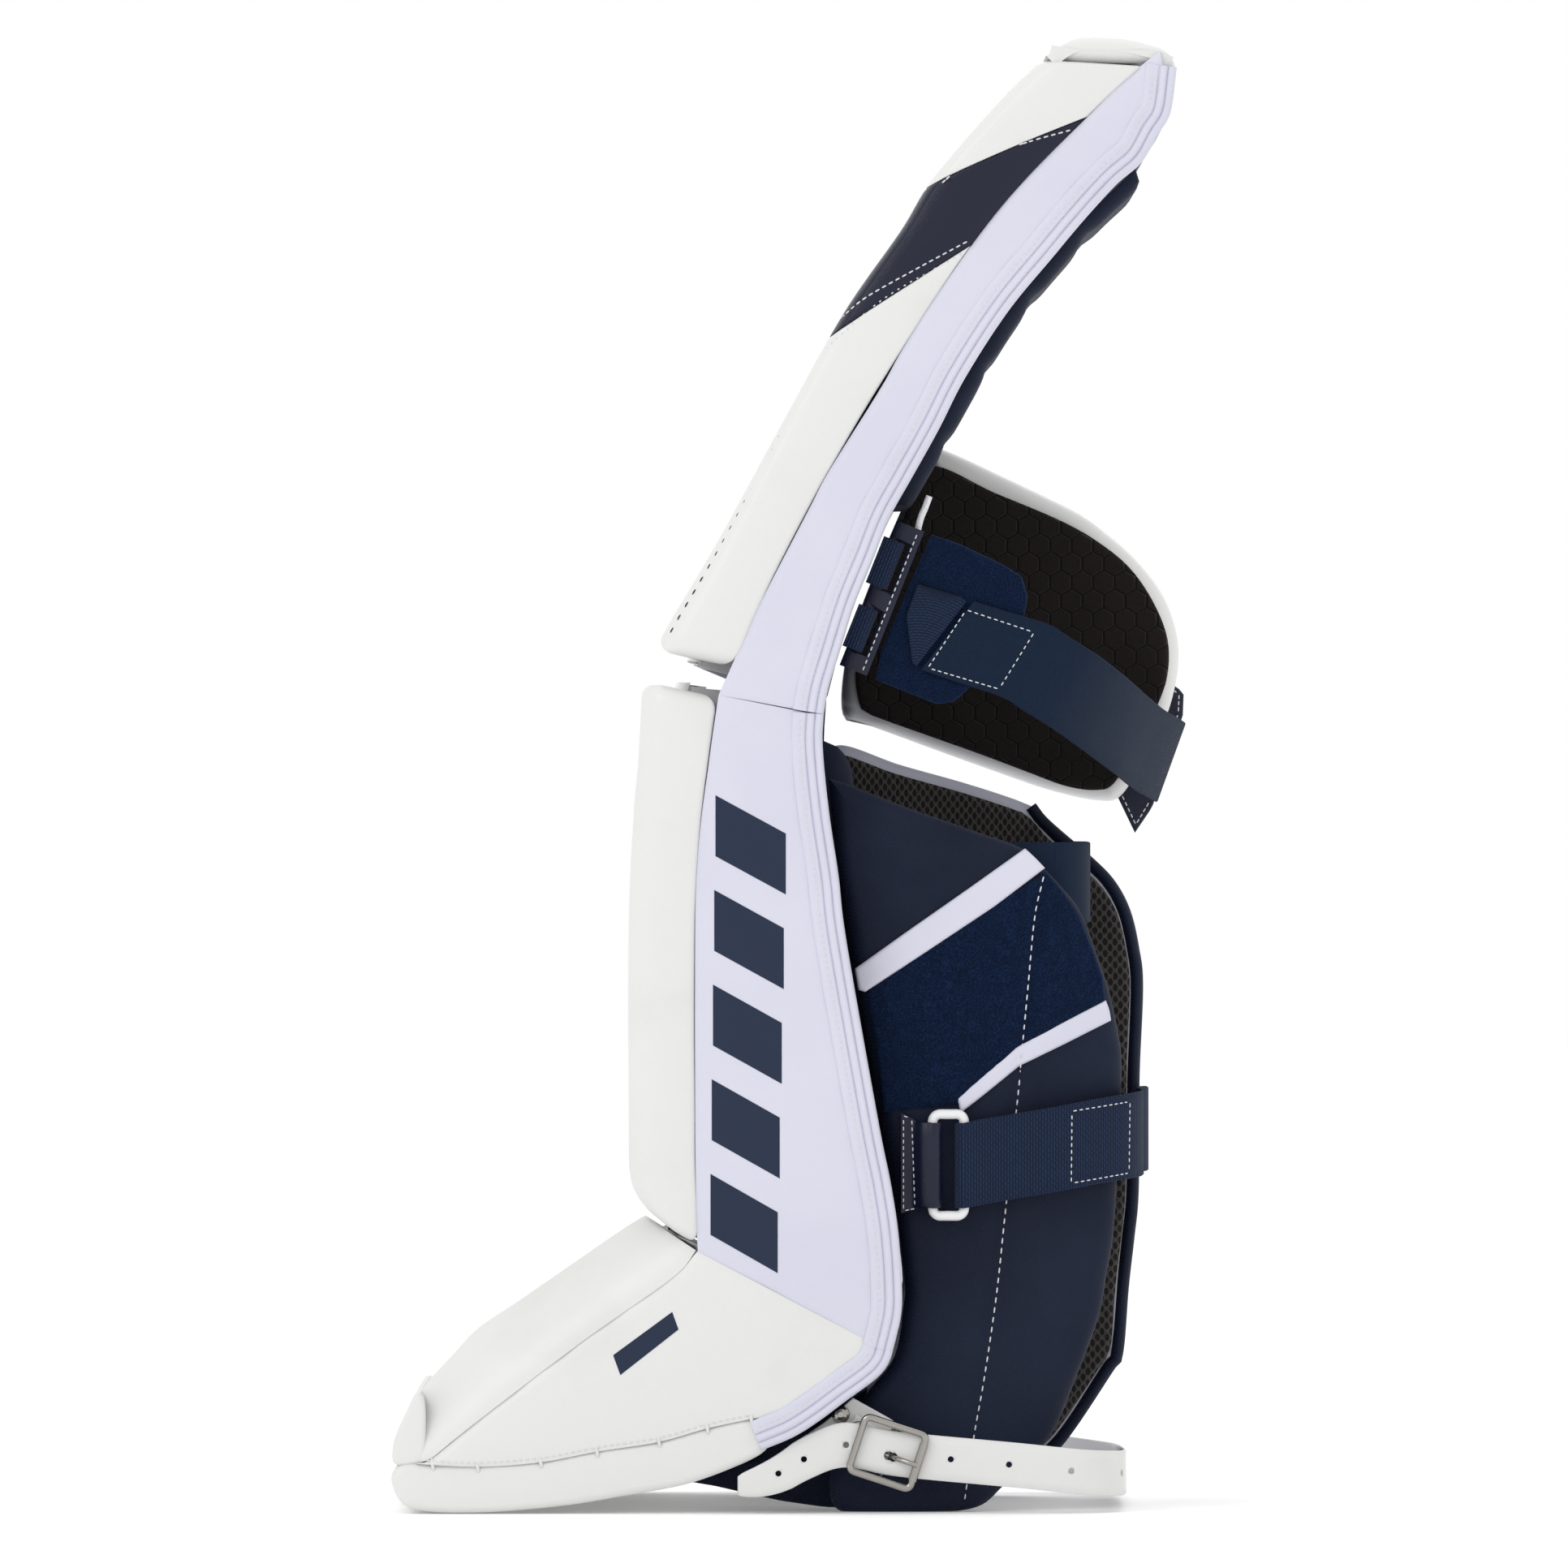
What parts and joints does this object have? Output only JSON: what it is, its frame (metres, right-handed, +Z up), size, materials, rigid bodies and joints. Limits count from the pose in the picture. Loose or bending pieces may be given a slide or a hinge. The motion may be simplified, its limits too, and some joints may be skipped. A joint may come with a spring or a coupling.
{
  "type": "ice-hockey goalie leg pad",
  "caption": "Padded leg guard for an ice-hockey goalie: curved thigh rise, flat shin and wedge boot, with calf wraps, a knee block and a flap, closed by straps and a buckled boot strap.",
  "frame": {"origin": "centre of the bounding box in plan, on the plane that the pad stands on", "axes": "+Z up along the pad from its toe to the top of its thigh rise; -X to the front, the way the toe and the blocking face point; -Y to the outer side, +Y to the inner (knee) side"},
  "size_m": [0.3583, 0.2581, 0.6542],
  "materials": {
    "white_leather": "smooth white synthetic leather",
    "navy_leather": "pebbled navy synthetic leather",
    "white_nylon": "white coated nylon",
    "navy_nylon": "woven navy nylon",
    "foam": "closed-cell foam",
    "loop_fastener": "brushed loop pile",
    "hex_lining": "black hexagon-embossed lining",
    "mesh_lining": "black spacer mesh",
    "webbing": "ribbed navy webbing",
    "nickel": "polished nickel",
    "white_plastic": "white moulded plastic"
  },
  "bodies": {
    "shin_section": {"shin_core": "foam", "shin_face_cover": "white_leather", "shin_outer_roll": "white_leather", "shin_back_panel": "navy_nylon", "shin_outer_side_panel": "white_nylon", "shin_inner_side_panel": "white_nylon", "shin_edge_binding": "white_nylon", "shin_rest_cushion": "navy_nylon"},
    "thigh_section": {"thigh_core": "foam", "thigh_face_cover": "white_leather", "thigh_back_panel": "navy_nylon", "thigh_outer_side_panel": "white_nylon", "thigh_inner_side_panel": "white_nylon", "thigh_edge_binding": "white_nylon", "thigh_roll_lower": "white_leather", "thigh_roll_band": "navy_leather", "thigh_roll_cap": "white_leather", "thigh_top_panel": "white_leather", "thigh_back_cushion": "navy_nylon", "knee_flap_loop_lower": "webbing", "knee_flap_loop_upper": "webbing"},
    "boot_section": {"boot_core": "foam", "boot_face_cover": "white_leather", "boot_outer_roll": "white_leather", "boot_outer_side_panel": "white_leather", "boot_inner_side_panel": "white_leather", "boot_sole_panel": "navy_nylon", "boot_toe_cap": "white_leather", "boot_toe_bumper": "white_leather", "heel_skirt_outer": "navy_nylon", "heel_skirt_inner": "navy_nylon", "boot_anchor_outer": "white_leather", "boot_anchor_inner": "white_leather", "boot_rivet": "nickel", "boot_pivot_outer": "nickel", "boot_pivot_inner": "nickel"},
    "boot_strap_loop": {"boot_strap": "white_leather", "boot_strap_tab": "white_leather", "buckle_frame": "nickel"},
    "prong": {"buckle_prong": "nickel"},
    "outer_wrap": {"outer_calf_wrap": "navy_nylon", "calf_hook_panel": "loop_fastener", "calf_stripe_upper": "white_nylon", "calf_stripe_lower": "white_nylon", "calf_elastic": "webbing", "calf_strap_tab": "navy_leather"},
    "ring": {"calf_ring": "white_plastic"},
    "webbing_strap": {"calf_strap": "webbing"},
    "inner_wrap": {"inner_calf_wrap": "navy_nylon", "inner_calf_lining": "mesh_lining", "calf_strap_far": "webbing"},
    "flap": {"knee_flap_strip": "navy_leather", "knee_flap_pad": "loop_fastener", "knee_strap_patch": "webbing", "knee_strap_pull_tab": "navy_nylon", "knee_flap_lace": "white_nylon"},
    "knee_elastic": {"knee_strap": "webbing"},
    "block": {"knee_block_pad": "white_leather", "knee_block_lining": "hex_lining", "knee_strap_anchor": "navy_leather"}
  },
  "joints": [
    {"name": "knee_break", "type": "hinge", "parent": "shin_section", "child": "thigh_section", "pos_m": [0.0165, 0, 0.3623], "axis": [0, 1, 0], "range_deg": [-6, 10]},
    {"name": "ankle_break", "type": "hinge", "parent": "shin_section", "child": "boot_section", "pos_m": [0.045, 0, 0.073], "axis": [0, 1, 0], "range_deg": [-6, 3]},
    {"name": "boot_strap_swing", "type": "hinge", "parent": "boot_section", "child": "boot_strap_loop", "pos_m": [0.0295, 0, 0.0368], "axis": [0, -1, 0], "range_deg": [0, 15]},
    {"name": "prong_lift", "type": "hinge", "parent": "boot_strap_loop", "child": "prong", "pos_m": [0.04203, -0.1185, 0.02606], "axis": [-0.309, 0, -0.9511], "range_deg": [0, 20]},
    {"name": "outer_wrap_swing", "type": "hinge", "parent": "shin_section", "child": "outer_wrap", "pos_m": [0.021, -0.104, 0.16], "axis": [0, 0, -1], "range_deg": [0, 10]},
    {"name": "inner_wrap_swing", "type": "hinge", "parent": "shin_section", "child": "inner_wrap", "pos_m": [0.021, 0.094, 0.16], "axis": [0, 0, 1], "range_deg": [0, 10]},
    {"name": "ring_swing", "type": "hinge", "parent": "outer_wrap", "child": "ring", "pos_m": [0.0625, -0.1106, 0.1546], "axis": [0, 0, -1], "range_deg": [0, 60]},
    {"name": "calf_strap_swing", "type": "hinge", "parent": "ring", "child": "webbing_strap", "pos_m": [0.0765, -0.1106, 0.1546], "axis": [0, 0, -1], "range_deg": [0, 40]},
    {"name": "flap_swing", "type": "hinge", "parent": "thigh_section", "child": "flap", "pos_m": [0.0235, -0.112, 0.376], "axis": [-0.3701, 0, -0.929], "range_deg": [0, 40]},
    {"name": "knee_strap_swing", "type": "hinge", "parent": "flap", "child": "knee_elastic", "pos_m": [0.1036, -0.1116, 0.3788], "axis": [-0.541, 0, -0.841], "range_deg": [0, 40]},
    {"name": "block_swing", "type": "hinge", "parent": "thigh_section", "child": "block", "pos_m": [0.022, 0.1245, 0.375], "axis": [0.365, 0, 0.931], "range_deg": [0, 45]}
  ]
}
